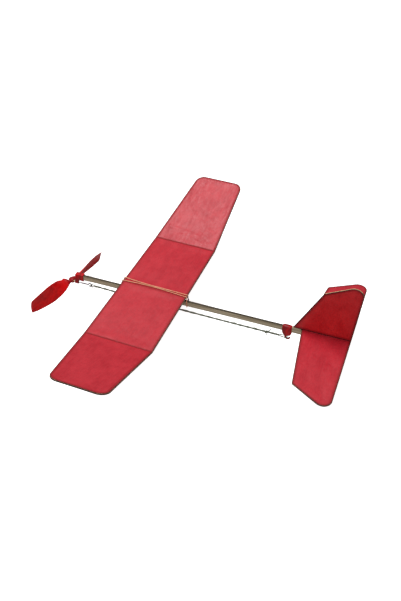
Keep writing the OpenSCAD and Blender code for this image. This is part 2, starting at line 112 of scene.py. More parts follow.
def make_stage():
    low, high = cad_box
    floor_side, gap, glow, bounce_grey = 8, 0.0018, 0.85, 0.42
    world_light, world_seen = 0.33, 1.0
    mesh = bpy.data.meshes.new("floor")
    work = bmesh.new()
    bmesh.ops.create_grid(work, x_segments=2, y_segments=2, size=floor_side / 2)
    work.to_mesh(mesh)
    work.free()
    floor = bpy.data.objects.new("floor", mesh)
    floor.location = ((low.x + high.x) / 2, (low.y + high.y) / 2, low.z - gap)
    bpy.context.scene.collection.objects.link(floor)
    # The floor looks white and bounces the light of mid grey paper. It lets the view through from
    # beneath, so that the underside can be looked at.
    paper = Shader("floor_paper", srgb(246, 246, 246), roughness=0.9)
    paper.set("Emission Color", (1, 1, 1, 1))
    paper.set("Emission Strength", glow)
    bounce = paper.node("BsdfDiffuse", {"Color": (bounce_grey, bounce_grey, bounce_grey, 1)})
    seen = paper.node("LightPath").outputs["Is Camera Ray"]
    upper = paper.node("MixShader", [seen, bounce.outputs[0], paper.bsdf.outputs[0]])
    clear = paper.node("BsdfTransparent")
    beneath = paper.node("NewGeometry").outputs["Backfacing"]
    paper.end(paper.node("MixShader", [beneath, upper.outputs[0], clear.outputs[0]]).outputs[0])
    mesh.materials.append(paper.material)

    world = bpy.data.worlds.new("studio")
    world.use_nodes = True
    background = world.node_tree.nodes["Background"]
    background.inputs["Color"].default_value = (1, 1, 1, 1)
    light = world.node_tree.nodes.new("ShaderNodeLightPath")
    strength = world.node_tree.nodes.new("ShaderNodeMapRange")
    strength.inputs["To Min"].default_value = world_light
    strength.inputs["To Max"].default_value = world_seen
    world.node_tree.links.new(light.outputs["Is Camera Ray"], strength.inputs["Value"])
    world.node_tree.links.new(strength.outputs[0], background.inputs["Strength"])
    bpy.context.scene.world = world
    centre = (low + high) / 2
    area_light("overhead", (-0.25, 0.3, 1.45), centre, size=0.95, power=19)
    area_light("front", (0.3, -1.6, 0.9), centre, size=0.9, power=7)
    bpy.context.scene.view_settings.view_transform = "Standard"
    bpy.context.scene.view_settings.look = "None"


# ---- Materials ----

def srgb(*levels):
    """A display colour from 0 to 255 as Blender's linear one."""
    shares = [level / 255 for level in levels]
    linear = [v / 12.92 if v <= 0.04045 else ((v + 0.055) / 1.055) ** 2.4 for v in shares]
    return (*linear, 1)


# The places of a colour Mix node's factor, its two colours and its result among its sockets.
MIX_FACTOR, MIX_A, MIX_B, MIX_RESULT = 0, 6, 7, 2


class Shader:
    """One procedural material. Patterns are in the object's own coordinates, in metres."""

    def __init__(self, name, colour, **surface):
        self.material = bpy.data.materials.new(name)
        self.material.use_nodes = True
        self.tree = self.material.node_tree
        self.bsdf = self.tree.nodes["Principled BSDF"]
        self.output = self.tree.nodes["Material Output"]
        self.set("Base Color", colour)
        for key, value in surface.items():
            self.set(key.replace("_", " ").title().replace("Ior", "IOR"), value)
        self.place = self.node("TexCoord").outputs["Object"]

    def set(self, socket, value):
        target = self.bsdf.inputs[socket]
        if isinstance(value, bpy.types.NodeSocket):
            self.tree.links.new(value, target)
        else:
            target.default_value = value

    def end(self, surface):
        self.tree.links.new(surface, self.output.inputs["Surface"])

    def node(self, kind, values=(), **settings):
        made = self.tree.nodes.new("ShaderNode" + kind)
        for key, value in settings.items():
            setattr(made, key, value)
        for key, value in (values.items() if isinstance(values, dict) else enumerate(values)):
            if isinstance(value, bpy.types.NodeSocket):
                self.tree.links.new(value, made.inputs[key])
            elif value is not None:
                made.inputs[key].default_value = value
        return made

    def stretched(self, scale):
        """The object's coordinates times scale, which turns metres into pattern units."""
        return self.node("Mapping", {"Vector": self.place, "Scale": scale}).outputs[0]

    def noise(self, scale, detail, roughness=0.55, distortion=0.0):
        made = self.node("TexNoise", {"Vector": self.stretched(scale), "Scale": 1.0, "Detail": detail,
                                      "Roughness": roughness, "Distortion": distortion})
        return made.outputs["Fac"]

    def ramp(self, value, low, high, out_low=0.0, out_high=1.0):
        """Goes smoothly from out_low to out_high while value goes from low to high."""
        made = self.node("MapRange", {"Value": value, "From Min": low, "From Max": high,
                                      "To Min": out_low, "To Max": out_high})
        made.interpolation_type = "SMOOTHSTEP"
        return made.outputs[0]

    def mix(self, factor, a, b):
        made = self.node("Mix", data_type="RGBA")
        for key, value in ((MIX_FACTOR, factor), (MIX_A, a), (MIX_B, b)):
            if isinstance(value, bpy.types.NodeSocket):
                self.tree.links.new(value, made.inputs[key])
            else:
                made.inputs[key].default_value = value
        return made.outputs[MIX_RESULT]

    def maths(self, operation, *values):
        return self.node("Math", values, operation=operation).outputs[0]

    def bump(self, height, distance, strength):
        made = self.node("Bump", {"Height": height, "Distance": distance, "Strength": strength})
        self.set("Normal", made.outputs[0])

    def attribute(self, name):
        return self.node("Attribute", attribute_name=name).outputs["Fac"]


def tissue_material(name, bay, glued_and_shaded, crease, shaded_rim, translucence):
    """Coloured tissue with soft fibres. It is deeper where it is glued on the strips, partly for the glue
    and partly as painted shade where the strip behind keeps the light from coming through, with a dark line
    at each fold and a rim painted dark as shade along its edges. translucence is the share of light that
    goes through."""
    s = Shader(name, bay, roughness=0.42, ior=1.45, specular_ior_level=0.6)
    fibre = s.noise((1500, 360, 900), detail=6, roughness=0.7)
    streak = s.noise((300, 46, 90), detail=5, roughness=0.65, distortion=0.5)
    cloud = s.noise((60, 48, 50), detail=5, roughness=0.65)
    mottle = s.noise((260, 260, 260), detail=5, roughness=0.65)
    pale = tuple(min(1, c * 1.06 + 0.022) for c in bay[:3]) + (1,)
    deep = tuple(c * 0.86 for c in bay[:3]) + (1,)
    colour = s.mix(s.ramp(cloud, 0.3, 0.7), deep, pale)
    colour = s.mix(s.ramp(streak, 0.4, 0.7, 0.0, 0.6), colour, pale)
    colour = s.mix(s.ramp(fibre, 0.35, 0.75, 0.0, 0.4), colour, pale)
    colour = s.mix(s.ramp(mottle, 0.48, 0.72, 0.0, 0.55), colour, deep)
    # Over the strips the colour deepens, partly for the glue and partly as painted shade where the strip
    # behind keeps the light from coming through.
    over_strip = s.maths("MULTIPLY", s.attribute("glued_and_shaded"), s.ramp(mottle, 0.3, 0.6, 0.95, 0.7))
    colour = s.mix(over_strip, colour, glued_and_shaded)
    colour = s.mix(s.attribute("crease"), colour, crease)
    # Painted shade: a dark rim along the tissue's edges.
    colour = s.mix(s.attribute("shaded_rim"), colour, shaded_rim)
    s.set("Base Color", colour)
    s.set("Roughness", s.maths("MAXIMUM", s.ramp(streak, 0.25, 0.75, 0.5, 0.34),
                               s.maths("MULTIPLY", over_strip, 0.8)))
    height = s.maths("ADD", s.maths("MULTIPLY", fibre, 0.3), s.maths("MULTIPLY", streak, 0.8))
    s.bump(s.maths("ADD", height, cloud), 0.0005, 0.8)
    through = s.node("BsdfTranslucent", {"Color": colour})
    both = s.node("MixShader", [translucence, s.bsdf.outputs[0], through.outputs[0]])
    s.end(both.outputs[0])
    return s.material


def wood_material(name, pale, dark, dark_tone, darkened_where, grain=(18, 900, 700), specular=0.35):
    """Wood whose pattern has grain repeats per metre along X, Y and Z. The darker colour shows in the
    pores, and on the faces that the given function picks; on the wing and tail strips those are their
    sides, where the darker colour is painted shade."""
    roughness = 0.62
    s = Shader(name, pale, roughness=roughness, specular_ior_level=specular)
    streak = s.noise(grain, detail=7, roughness=0.62, distortion=0.6)
    fine = s.noise(tuple(g * 3.2 for g in grain), detail=4)
    pore = s.noise((260, 2600, 2600), detail=2)
    colour = s.mix(s.ramp(streak, 0.35, 0.68), pale, dark)
    colour = s.mix(s.ramp(fine, 0.42, 0.7, 0.0, 0.45), colour, dark)
    colour = s.mix(s.ramp(pore, 0.62, 0.74, 0.0, 0.35), colour, dark_tone)
    # Painted shade on the strips: the faces that the given function picks take the darker colour.
    colour = s.mix(darkened_where(s, streak), colour, dark_tone)
    s.set("Base Color", colour)
    s.set("Roughness", s.ramp(fine, 0.3, 0.8, roughness - 0.08, roughness + 0.12))
    s.bump(s.maths("ADD", streak, s.maths("MULTIPLY", fine, 0.6)), 0.00012, 0.6)
    return s.material


def facing(s, axis):
    """How far a face looks along an axis, from -1 to 1."""
    apart = s.node("SeparateXYZ", [s.node("NewGeometry").outputs["Normal"]])
    return apart.outputs[axis]


def darker_top(s, streak):
    """The stick's top is darker than its sides."""
    up = s.ramp(facing(s, "Z"), 0.55, 0.8)
    return s.maths("MULTIPLY", up, s.ramp(streak, 0.2, 0.6, 0.88, 1.0))


def sides_painted_shaded(s, streak):
    """Painted shade: the strips' sides take the dark colour, and their flat faces stay pale."""
    flat = s.ramp(s.maths("ABSOLUTE", facing(s, "Z")), 0.5, 0.75)
    return s.maths("MULTIPLY", s.maths("SUBTRACT", 1.0, flat), s.ramp(streak, 0.2, 0.6, 0.92, 1.0))


def fin_edges_painted_shaded(s, streak):
    """The fin's strip edges take the painted shade too, except their flat faces and the top edge, which
    keeps the pale wood colour where the overhead light falls on it.
    """
    up = s.ramp(facing(s, "Z"), 0.5, 0.75)
    side = s.ramp(s.maths("ABSOLUTE", facing(s, "Y")), 0.5, 0.75)
    flat = s.maths("MAXIMUM", up, side)
    return s.maths("MULTIPLY", s.maths("SUBTRACT", 1.0, flat), s.ramp(streak, 0.2, 0.6, 0.92, 1.0))


def never_cut(s, streak):
    return 0.0


def plastic_material(name, colour, shade, roughness, specular=0.5, grain=900, hub=None):
    """Moulded plastic with faint flow marks and fine scuffs, which repeat grain times per metre.
    hub is a deeper colour painted near the shaft, as the shade at the blades' roots."""
    s = Shader(name, colour, roughness=roughness, ior=1.49, specular_ior_level=specular)
    flow = s.noise((60, 45, 70), detail=3, distortion=1.2)
    scuff = s.noise((grain, grain * 0.35, grain), detail=6, roughness=0.7)
    mixed = s.mix(s.ramp(flow, 0.35, 0.7), colour, shade)
    if hub:
        # Painted shade: the colour deepens toward the shaft, at the blades' roots.
        hub_r, fade_r = 9 * MM, 18 * MM
        across = s.node("Mapping", {"Vector": s.place, "Location": (0, 0, -SHAFT_Z * MM),
                                    "Scale": (0, 1, 1)})
        from_shaft = s.node("VectorMath", [across.outputs[0]], operation="LENGTH").outputs["Value"]
        mixed = s.mix(s.ramp(from_shaft, hub_r, fade_r, 0.85, 0.0), mixed, hub)
    s.set("Base Color", s.mix(s.ramp(scuff, 0.6, 0.85, 0.0, 0.3), mixed, shade))
    s.set("Roughness", s.ramp(scuff, 0.3, 0.8, roughness - 0.06, roughness + 0.16))
    s.bump(s.maths("ADD", flow, s.maths("MULTIPLY", scuff, 0.25)), 0.0001, 0.35)
    return s.material


def metal_material(name, colour, shade, roughness=0.28):
    """Metal with fine drawing lines along X."""
    s = Shader(name, colour, metallic=1.0, roughness=roughness)
    drawn = s.noise((300, 4200, 4200), detail=4)
    s.set("Base Color", s.mix(s.ramp(drawn, 0.35, 0.75), colour, shade))
    s.set("Roughness", s.ramp(drawn, 0.3, 0.8, roughness - 0.08, roughness + 0.16))
    s.bump(drawn, 0.00004, 0.4)
    return s.material


def rubber_material(name, colour, shade, dust):
    """Strip rubber with patches of shade, and specks of dust."""
    roughness = 0.58
    s = Shader(name, colour, roughness=roughness)
    patch = s.noise((220, 900, 900), detail=5, roughness=0.7)
    fine = s.noise((3000, 3000, 3000), detail=3)
    mixed = s.mix(s.ramp(patch, 0.35, 0.68), shade, colour)
    s.set("Base Color", s.mix(s.ramp(fine, 0.55, 0.8, 0.0, 0.5), mixed, dust))
    s.set("Roughness", s.ramp(patch, 0.3, 0.75, roughness - 0.1, roughness + 0.15))
    s.set("Sheen Weight", 0.15)
    s.bump(s.maths("ADD", patch, s.maths("MULTIPLY", fine, 0.5)), 0.00008, 0.5)
    return s.material


def make_materials():
    # A dark brown that is painted as the shade on the strips' sides.
    painted_shade_brown = srgb(40, 17, 14)
    red, red_deep = srgb(198, 8, 18), srgb(132, 4, 12)
    ply, ply_dark = srgb(214, 178, 140), srgb(176, 136, 98)
    # Over the strips the tissue is deeper, partly from the glue and partly painted shade where the strip
    # keeps the light from coming through; the darkest colour is painted shade along the tissue's edges.
    on_strips = dict(glued_and_shaded=srgb(174, 0, 20), crease=srgb(166, 2, 20), shaded_rim=srgb(66, 8, 14), translucence=0.3)
    return {
        "tissue": tissue_material("wing_tissue", srgb(211, 20, 45), **on_strips),
        "fin_tissue": tissue_material("fin_tissue", srgb(218, 20, 30), **on_strips),
        "stick_wood": wood_material("stick_basswood", srgb(204, 190, 162), srgb(146, 130, 104),
                                    srgb(54, 44, 22), darker_top),
        "strip_wood": wood_material("strip_plywood", ply, ply_dark, painted_shade_brown, sides_painted_shaded,
                                    grain=(200, 200, 500), specular=0.08),
        "fin_wood": wood_material("fin_plywood", ply, ply_dark, painted_shade_brown, fin_edges_painted_shaded,
                                  grain=(200, 500, 200), specular=0.08),
        "packer_wood": wood_material("packer_basswood", srgb(206, 188, 160), srgb(168, 146, 118),
                                     srgb(120, 96, 70), never_cut),
        "red_plastic": plastic_material("red_plastic", red, red_deep, roughness=0.36, specular=0.3),
        # The propeller's deeper hub colour is painted shade at the blades' roots.
        "propeller_plastic": plastic_material("propeller_plastic", srgb(216, 6, 8), srgb(180, 4, 8),
                                              roughness=0.34, specular=0.25, grain=500,
                                              hub=srgb(132, 2, 12)),
        "bead_plastic": plastic_material("bead_plastic", srgb(232, 228, 220), srgb(202, 196, 186),
                                         roughness=0.25),
        "mount_plastic": plastic_material("mount_plastic", srgb(40, 40, 42), srgb(22, 22, 24),
                                          roughness=0.42),
        "washer_brass": metal_material("washer_brass", srgb(208, 172, 98), srgb(168, 130, 66)),
        "wire_steel": metal_material("wire_steel", srgb(116, 118, 124), srgb(80, 82, 88)),
        "black_wire": metal_material("black_wire", srgb(38, 36, 36), srgb(20, 18, 18), roughness=0.4),
        "motor_rubber": rubber_material("motor_rubber", srgb(140, 146, 128), srgb(100, 106, 88),
                                        srgb(164, 166, 150)),
        "band_rubber": rubber_material("band_rubber", srgb(234, 162, 126), srgb(212, 130, 92),
                                       srgb(248, 208, 180)),
    }


# ---- Mesh helpers ----

def to_metres(name, points, faces, material, place=Matrix.Identity(4), flipped=False):
    """A mesh piece from millimetre points, moved by place, with its faces turned over if flipped."""
    mesh = bpy.data.meshes.new(name)
    if flipped:
        faces = [tuple(reversed(f)) for f in faces]
    mesh.from_pydata([tuple((place @ Vector(p)) * MM) for p in points], [], faces)
    mesh.update()
    for face in mesh.polygons:
        face.use_smooth = True
    mesh.materials.append(material)
    piece = bpy.data.objects.new(name, mesh)
    bpy.context.scene.collection.objects.link(piece)
    return piece


def point_attribute(piece, name, values):
    made = piece.data.attributes.new(name, "FLOAT", "POINT")
    made.data.foreach_set("value", values)


def smooth_step(low, high, value):
    t = min(1.0, max(0.0, (value - low) / (high - low)))
    return t * t * (3 - 2 * t)


def mix(a, b, s):
    """The value at the share s of the way from a to b."""
    return a + (b - a) * s


def curve_through(points, steps, closed=False):
    """A smooth (Catmull-Rom) path through the points, with this many steps from each to the next."""
    points = [Vector(p) for p in points]
    count, path = len(points), []
    for i in range(count if closed else count - 1):
        a, b, c, d = (points[(i + k) % count if closed else min(max(i + k, 0), count - 1)]
                      for k in (-1, 0, 1, 2))
        slope, bend, twist = c - a, 2 * a - 5 * b + 4 * c - d, 3 * (b - c) + d - a
        for j in range(steps):
            t = j / steps
            path.append(b + t * (slope + t * (bend + t * twist)) / 2)
    return path if closed else path + [points[-1]]


def turn_steps(count):
    """The angles of a full turn in count equal steps."""
    return [2 * math.pi * k / count for k in range(count)]


def oval(width, height, count=12):
    """The points of an ellipse."""
    return [(width / 2 * math.cos(a), height / 2 * math.sin(a)) for a in turn_steps(count)]


def loft(rings, closed=False):
    """Points and faces of a skin over rings of points, with caps unless it closes on itself."""
    wide, count = len(rings[0]), len(rings)
    faces = [(i * wide + j, i * wide + (j + 1) % wide, (i + 1) % count * wide + (j + 1) % wide,
              (i + 1) % count * wide + j)
             for i in range(count if closed else count - 1) for j in range(wide)]
    if not closed:
        faces += [tuple(reversed(range(wide))), tuple(range((count - 1) * wide, count * wide))]
    return [p for ring in rings for p in ring], faces


def tube(path, section, closed=False, first=(0, 0, 1), size=None):
    """A skin of this cross-section along the path. first is the way that the section's first axis
    points at the start, and size gives the section's scale from the share of the way along."""
    count = len(path)
    if closed:
        steps = [(path[(i + 1) % count] - path[i - 1]).normalized() for i in range(count)]
    else:
        steps = [(path[min(i + 1, count - 1)] - path[max(i - 1, 0)]).normalized()
                 for i in range(count)]
    first = Vector(first)
    normals = [(first - first.project(steps[0])).normalized()]
    for before, now in zip(steps, steps[1:]):
        turned = before.rotation_difference(now) @ normals[-1]
        normals.append((turned - turned.project(now)).normalized())
    closing = 0
    if closed:
        back = steps[-1].rotation_difference(steps[0]) @ normals[-1]
        closing = math.atan2(back.cross(normals[0]).dot(steps[0]), back.dot(normals[0]))
    rings = []
    for i, (at, step, normal) in enumerate(zip(path, steps, normals)):
        a = Quaternion(step, closing * i / count) @ normal
        b = step.cross(a)
        scale = size(i / (count - 1)) if size else 1
        rings.append([at + (a * v + b * u) * scale for u, v in section])
    return loft(rings, closed)


def lathe(profile, segments=40):
    """A ring turned about the X axis, from a closed profile of (x, radius) points."""
    rings = [[Vector((x, r * math.cos(a), r * math.sin(a))) for x, r in profile]
             for a in turn_steps(segments)]
    return loft(rings, closed=True)


def joined(parts):
    """The points and faces of several parts as those of one."""
    points, faces = [], []
    for part_points, part_faces in parts:
        base = len(points)
        points += part_points
        faces += [tuple(base + k for k in face) for face in part_faces]
    return points, faces


def rounded_ends(share, least=0.35):
    """A size for tube() that rounds off both ends over this share of the way."""
    def size(s):
        near = min(1, min(s, 1 - s) / share)
        return max(least, math.sqrt(1 - (1 - near) ** 2))
    return size


def add_piece(name, part, materials, slot, body, replaced):
    """A finished piece from a part's points and faces, with its faces turned outward."""
    piece = to_metres(name, *part, materials[slot])
    clean = bmesh.new()
    clean.from_mesh(piece.data)
    bmesh.ops.recalc_face_normals(clean, faces=clean.faces)
    clean.to_mesh(piece.data)
    clean.free()
    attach(piece, body)
    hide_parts(replaced)


# ---- Propeller ----

# The turn about the shaft and the cone are in degrees.
BLADE_X, PITCH, BLADE_TURN, BLADE_CONE = -88.5, 135, -12, 2.2
# The blade's edges as (radius, distance ahead of its axis), and half its thickness, from the hub out.
LEAD_EDGE = [(2, 2.4), (5.6, 4.4), (7.4, 9), (9.8, 11), (13, 9.6), (18, 10), (26, 11.8),
             (38, 13.2), (54, 14), (72, 13.4), (90, 12.2), (99, 11.4), (102.4, 10), (103.8, 7.4)]
TRAIL_EDGE = [(2, -2.4), (6, -2.4), (8.5, -2.8), (11, -3.4), (14, -4.4), (18, -5.7), (26, -7.8),
              (38, -9.8), (54, -11), (72, -10), (90, -7.8), (98.4, -6.2), (103, -5.2), (105.2, -4.2)]
HALF_THICK = [2.4, 2.5, 3.0, 2.9, 1.8, 1.2, 0.95, 0.85, 0.75, 0.65, 0.5, 0.42, 0.36, 0.28]
# The hub's closed section as (distance behind the blades' axis, radius).
HUB_PROFILE = [(-3.9, 0.62), (-4.3, 1.0), (-4.3, 2.1), (-3.9, 2.5), (-3.2, 2.7), (-2.9, 3.2),
               (-2.3, 3.4), (2.2, 3.4), (2.8, 3.2), (3.1, 2.8), (4.0, 2.7), (4.4, 2.4), (4.4, 1.0),
               (4.1, 0.62)]


def blade_skin():
    """One blade up the Y axis: rings round its section, from the hub out, skinned over."""
    per_span, around, camber_share = 6, 28, 0.05
    root_angle = math.radians(66)
    lead, trail, thick = (curve_through([(*p, 0) for p in table], per_span) for table in
                          (LEAD_EDGE, TRAIL_EDGE, [(t, 0) for t in HALF_THICK]))
    rings = []
    for front, rear, half in zip(lead, trail, thick):
        ring = []
        chord = (front - rear).length
        camber = camber_share * chord * smooth_step(11, 22, front.x)
        for a in turn_steps(around):
            s = 0.5 - 0.5 * math.cos(a)
            edge = mix(rear, front, s)
            beta = math.atan(PITCH / (2 * math.pi * max(edge.x, 1)))
            beta = mix(root_angle, beta, smooth_step(4, 16, edge.x))
            lift = camber * 4 * s * (1 - s) + half.x * math.sin(a)
            ring.append(Vector((-edge.y * math.sin(beta) - lift * math.cos(beta)
                                - edge.x * math.sin(math.radians(BLADE_CONE)),
                                edge.x, -edge.y * math.cos(beta) + lift * math.sin(beta))))
        rings.append(ring)
    return loft(rings)


def make_propeller(materials):
    blade_points, blade_faces = blade_skin()
    blades = [([Matrix.Rotation(math.radians(turn), 4, "X") @ p for p in blade_points], blade_faces)
              for turn in (0, 180)]
    points, faces = joined([*blades, lathe(HUB_PROFILE)])
    turned = Matrix.Rotation(math.radians(BLADE_TURN), 4, "X")
    stand = Matrix.Translation((BLADE_X, 0, SHAFT_Z)) @ turned
    add_piece("two_blade_propeller", ([stand @ p for p in points], faces),
              materials, "propeller_plastic", "propeller", "propeller")


# ---- Shaft and rear hook ----

def make_shaft(materials):
    """The bent wire shaft with its ring, as in part.scad but a little thicker behind the bearing."""
    front, ring_x, ring_r, bend_r = BLADE_X - 4.4, -57, 2.7, 1.5
    bend, entry = math.radians(60), math.radians(150)
    rise = ring_r * math.sin(entry) - bend_r * (1 - math.cos(bend))
    end_x = ring_x + ring_r * math.cos(entry) - rise / math.tan(bend)
    start_x = end_x - bend_r * math.sin(bend)
    straight_steps, bend_steps, ring_steps, ring_turn = 30, 5, 36, math.radians(300)
    path = [Vector((mix(front, start_x, i / straight_steps), 0, SHAFT_Z))
            for i in range(straight_steps + 1)]
    path += [Vector((start_x + bend_r * math.sin(a), 0, SHAFT_Z + bend_r * (1 - math.cos(a))))
             for a in (bend * k / bend_steps for k in range(1, bend_steps + 1))]
    path += [Vector((ring_x + ring_r * math.cos(a), 0, SHAFT_Z + ring_r * math.sin(a)))
             for a in (entry - ring_turn * k / ring_steps for k in range(ring_steps + 1))]
    wire_d, growth, last = 1.0, 1.6, len(path) - 1
    # The wire grows between these two points of the path.
    grow_from, grow_to = 17, 20
    ends = rounded_ends(0.012, 0.5)

    def size(s):
        return ends(s) * mix(1, growth, smooth_step(grow_from, grow_to, s * last))

    add_piece("bent_wire_shaft", tube(path, oval(wire_d, wire_d), first=(0, 1, 0), size=size),
              materials, "wire_steel", "propeller", "prop_shaft")


def make_rear_hook(materials):
    """A rounded clip round the stick, with the hook for the rubber under it."""
    # Each ring of the clip is (z, front x, rear x, half width), and squareness fills its corners.
    squareness, around = 0.55, 28
    levels = [(1.9, 246.5, 253.5, 1.6), (1.7, 244.8, 255.6, 2.7), (1.0, 243.5, 256.7, 3.3),
              (-1.5, 243.0, 257.2, 3.7), (-5.5, 243.0, 257.4, 3.9), (-8.6, 243.1, 257.3, 3.9),
              (-11.5, 243.7, 256.9, 3.7), (-13.8, 244.9, 256.0, 3.1), (-15.4, 246.2, 254.6, 2.3),
              (-16.4, 247.3, 252.6, 1.4)]
    rings = []
    for z, x0, x1, half in levels:
        ring = []
        for a in turn_steps(around):
            along, across = (math.copysign(abs(v) ** squareness, v) for v in (math.cos(a), math.sin(a)))
            ring.append(Vector(((x0 + x1) / 2 + (x1 - x0) / 2 * along, half * across, z)))
        rings.append(ring)
    hook_x, hook_z, hook_r = 251.5, -19.3, 3.0
    hook = [Vector((hook_x - hook_r, 0, z)) for z in (-14.5, -15.5, -17, -18.4)]
    hook += [Vector((hook_x - hook_r * math.cos(a), 0, hook_z - hook_r * math.sin(a)))
             for a in (math.radians(d) for d in range(0, 181, 15))]
    hook.append(Vector((hook_x + hook_r, 0, hook_z + 0.8)))
    bar = tube(hook, oval(2.8, 2.5, 14), first=(0, 1, 0), size=rounded_ends(0.07, 0.5))
    add_piece("rear_hook_clip", joined([loft(rings), bar]), materials, "red_plastic",
              "fuselage", "rear_hook")


# ---- Rubber ----

STRAND = oval(2.2, 1.9, 10)
LOOSE_STRAND = oval(1.0, 0.7, 8)
LOOP_STRAND = oval(1.6, 1.4, 12)


def strand_centre(x):
    s = (x - JUNCTION_X) / (REAR_JUNCTION_X - JUNCTION_X)
    return Vector((x, 0, mix(SHAFT_Z, REAR_LOOP_Z, s) - STRAND_SAG * 4 * s * (1 - s)))


def bump_at(x, middle, width, height):
    return height * math.exp(-((x - middle) / width) ** 2)


def make_strands(materials):
    """Two runs of rubber, twisted round each other, with slack bumps as (place, width, height)."""
    steps, pitch, apart, wander, turn_wander = 560, 24, 0.42, 0.15, 1.6
    slack = [(-38, 2.6, 0.6), (58, 3.4, 0.5), (104, 3, 0.8), (131, 2.4, 0.5), (176, 3.2, 0.8),
             (203, 2.6, 0.6)]
    strands = []
    for which in (0, 1):
        path = []
        for i in range(steps + 1):
            x = mix(JUNCTION_X - 0.4, REAR_JUNCTION_X + 0.6, i / steps)
            a = 2 * math.pi * (x / pitch + which / 2) + turn_wander * noise.noise(Vector((x / 60, 3, 8)))
            out = apart + wander * noise.noise(Vector((x / 14, which * 9, 5)))
            for n, (middle, width, height) in enumerate(slack):
                if n % 2 == which:
                    out += bump_at(x, middle, width, height)
            path.append(strand_centre(x) + Vector((0, out * math.cos(a), out * math.sin(a))))
        strands.append(tube(path, STRAND, size=rounded_ends(0.004)))
    add_piece("twisted_motor_strands", joined(strands), materials, "motor_rubber",
              "fuselage", "rubber_motor")


def hairpin(x, join, z, bend, toward):
    """A loop round a hook at x: a half ring open to one side, and two legs that meet at join."""
    legs, close = 5, 0.42
    ring = [Vector((x - toward * bend * math.cos(a), bend * math.sin(a), z))
            for a in (math.radians(d) for d in range(-90, 91, 18))]
    near, far = ([Vector((mix(join, x, k / legs), side * mix(close, bend, (k / legs) ** 0.8), z))
                  for k in range(legs)] for side in (-1, 1))
    return tube(curve_through(near + ring + far[::-1], 5), LOOP_STRAND, size=rounded_ends(0.02))


def binding(x, z, radius, advance, step, start):
    """Loose turns round the strand from x on: points step radians apart, eight of them to advance."""
    path = [Vector((x + advance * k / 8, radius * math.sin(k * step + start),
                    z + radius * math.cos(k * step + start))) for k in range(17)]
    return tube(curve_through(path, 3), LOOSE_STRAND, first=(1, 0, 0), size=rounded_ends(0.06))


def make_front_loop(materials):
    """The loop in the shaft's ring, its binding and a loose wisp of rubber."""
    join = -45.3
    loop = hairpin(-53.8, join, SHAFT_Z, 1.95, 1)
    neck = binding(join - 2.2, SHAFT_Z, 1.15, 1.1, 2.4, 0)
    wisp_path = curve_through([(-54.6, -1.4, SHAFT_Z - 0.6), (-53, -2.0, SHAFT_Z - 2.2),
                               (-50, -1.6, SHAFT_Z - 3.3), (-47.4, -0.8, SHAFT_Z - 2.4),
                               (-46.4, 0, SHAFT_Z - 0.9)], 8)
    wisp = tube(wisp_path, LOOSE_STRAND, size=rounded_ends(0.06))
    add_piece("front_rubber_loop", joined([loop, neck, wisp]), materials, "motor_rubber",
              "propeller", "rubber_front_loop")


def make_rear_loop(materials):
    """The loop round the rear hook, and its binding."""
    loop = hairpin(249, REAR_JUNCTION_X + 0.4, REAR_LOOP_Z, 2.25, -1)
    neck = binding(REAR_JUNCTION_X, REAR_LOOP_Z, 1.2, 1.2, 2.1, 1)
    add_piece("rear_rubber_loop", joined([loop, neck]), materials, "motor_rubber",
              "fuselage", "rubber_rear_loop")


def make_knot(materials):
    """Two and a half turns round the strand, with two loose tails and a crossing over them."""
    hub = strand_centre(KNOT_X)
    knot_r, turns, per_turn = 1.7, 2.5, 12
    coil_start, coil_len, coil_angle, wobble = -1.8, 3.2, 0.35, 0.3

    def from_hub(*offsets):
        return [hub + Vector(v) for v in offsets]

    low_tail = from_hub((6.4, -12.6, -2.6), (5.9, -11, -3.4), (4.6, -9, -3.2), (3.2, -7, -3.3),
                        (1.6, -5, -3))
    high_tail = from_hub((3.6, 1, 2.6), (4.2, 0.6, 3.9), (4.9, 1.5, 5.4), (5.8, 1.2, 6.5))
    over = from_hub((-3.1, -0.9, -1.3), (-1.4, -2.0, -0.9), (0.6, -2.3, 0.6), (2.0, -1.1, 1.9),
                    (3.3, 0.5, 1.2))
    coil = []
    for i in range(int(turns * per_turn) + 1):
        a = 2 * math.pi * i / per_turn + coil_angle
        x = coil_start + coil_len * i / (turns * per_turn) + wobble * math.sin(2.3 * a)
        coil.append(hub + Vector((x, -knot_r * math.sin(a), -knot_r * math.cos(a))))
    wound = tube(curve_through(low_tail + coil + high_tail, 4), oval(1.2, 0.9, 10), first=(1, 0, 0),
                 size=rounded_ends(0.015))
    crossing = tube(curve_through(over, 8), oval(1.1, 0.8, 10), size=rounded_ends(0.08))
    add_piece("motor_knot", joined([wound, crossing]), materials, "motor_rubber",
              "fuselage", "rubber_knot")


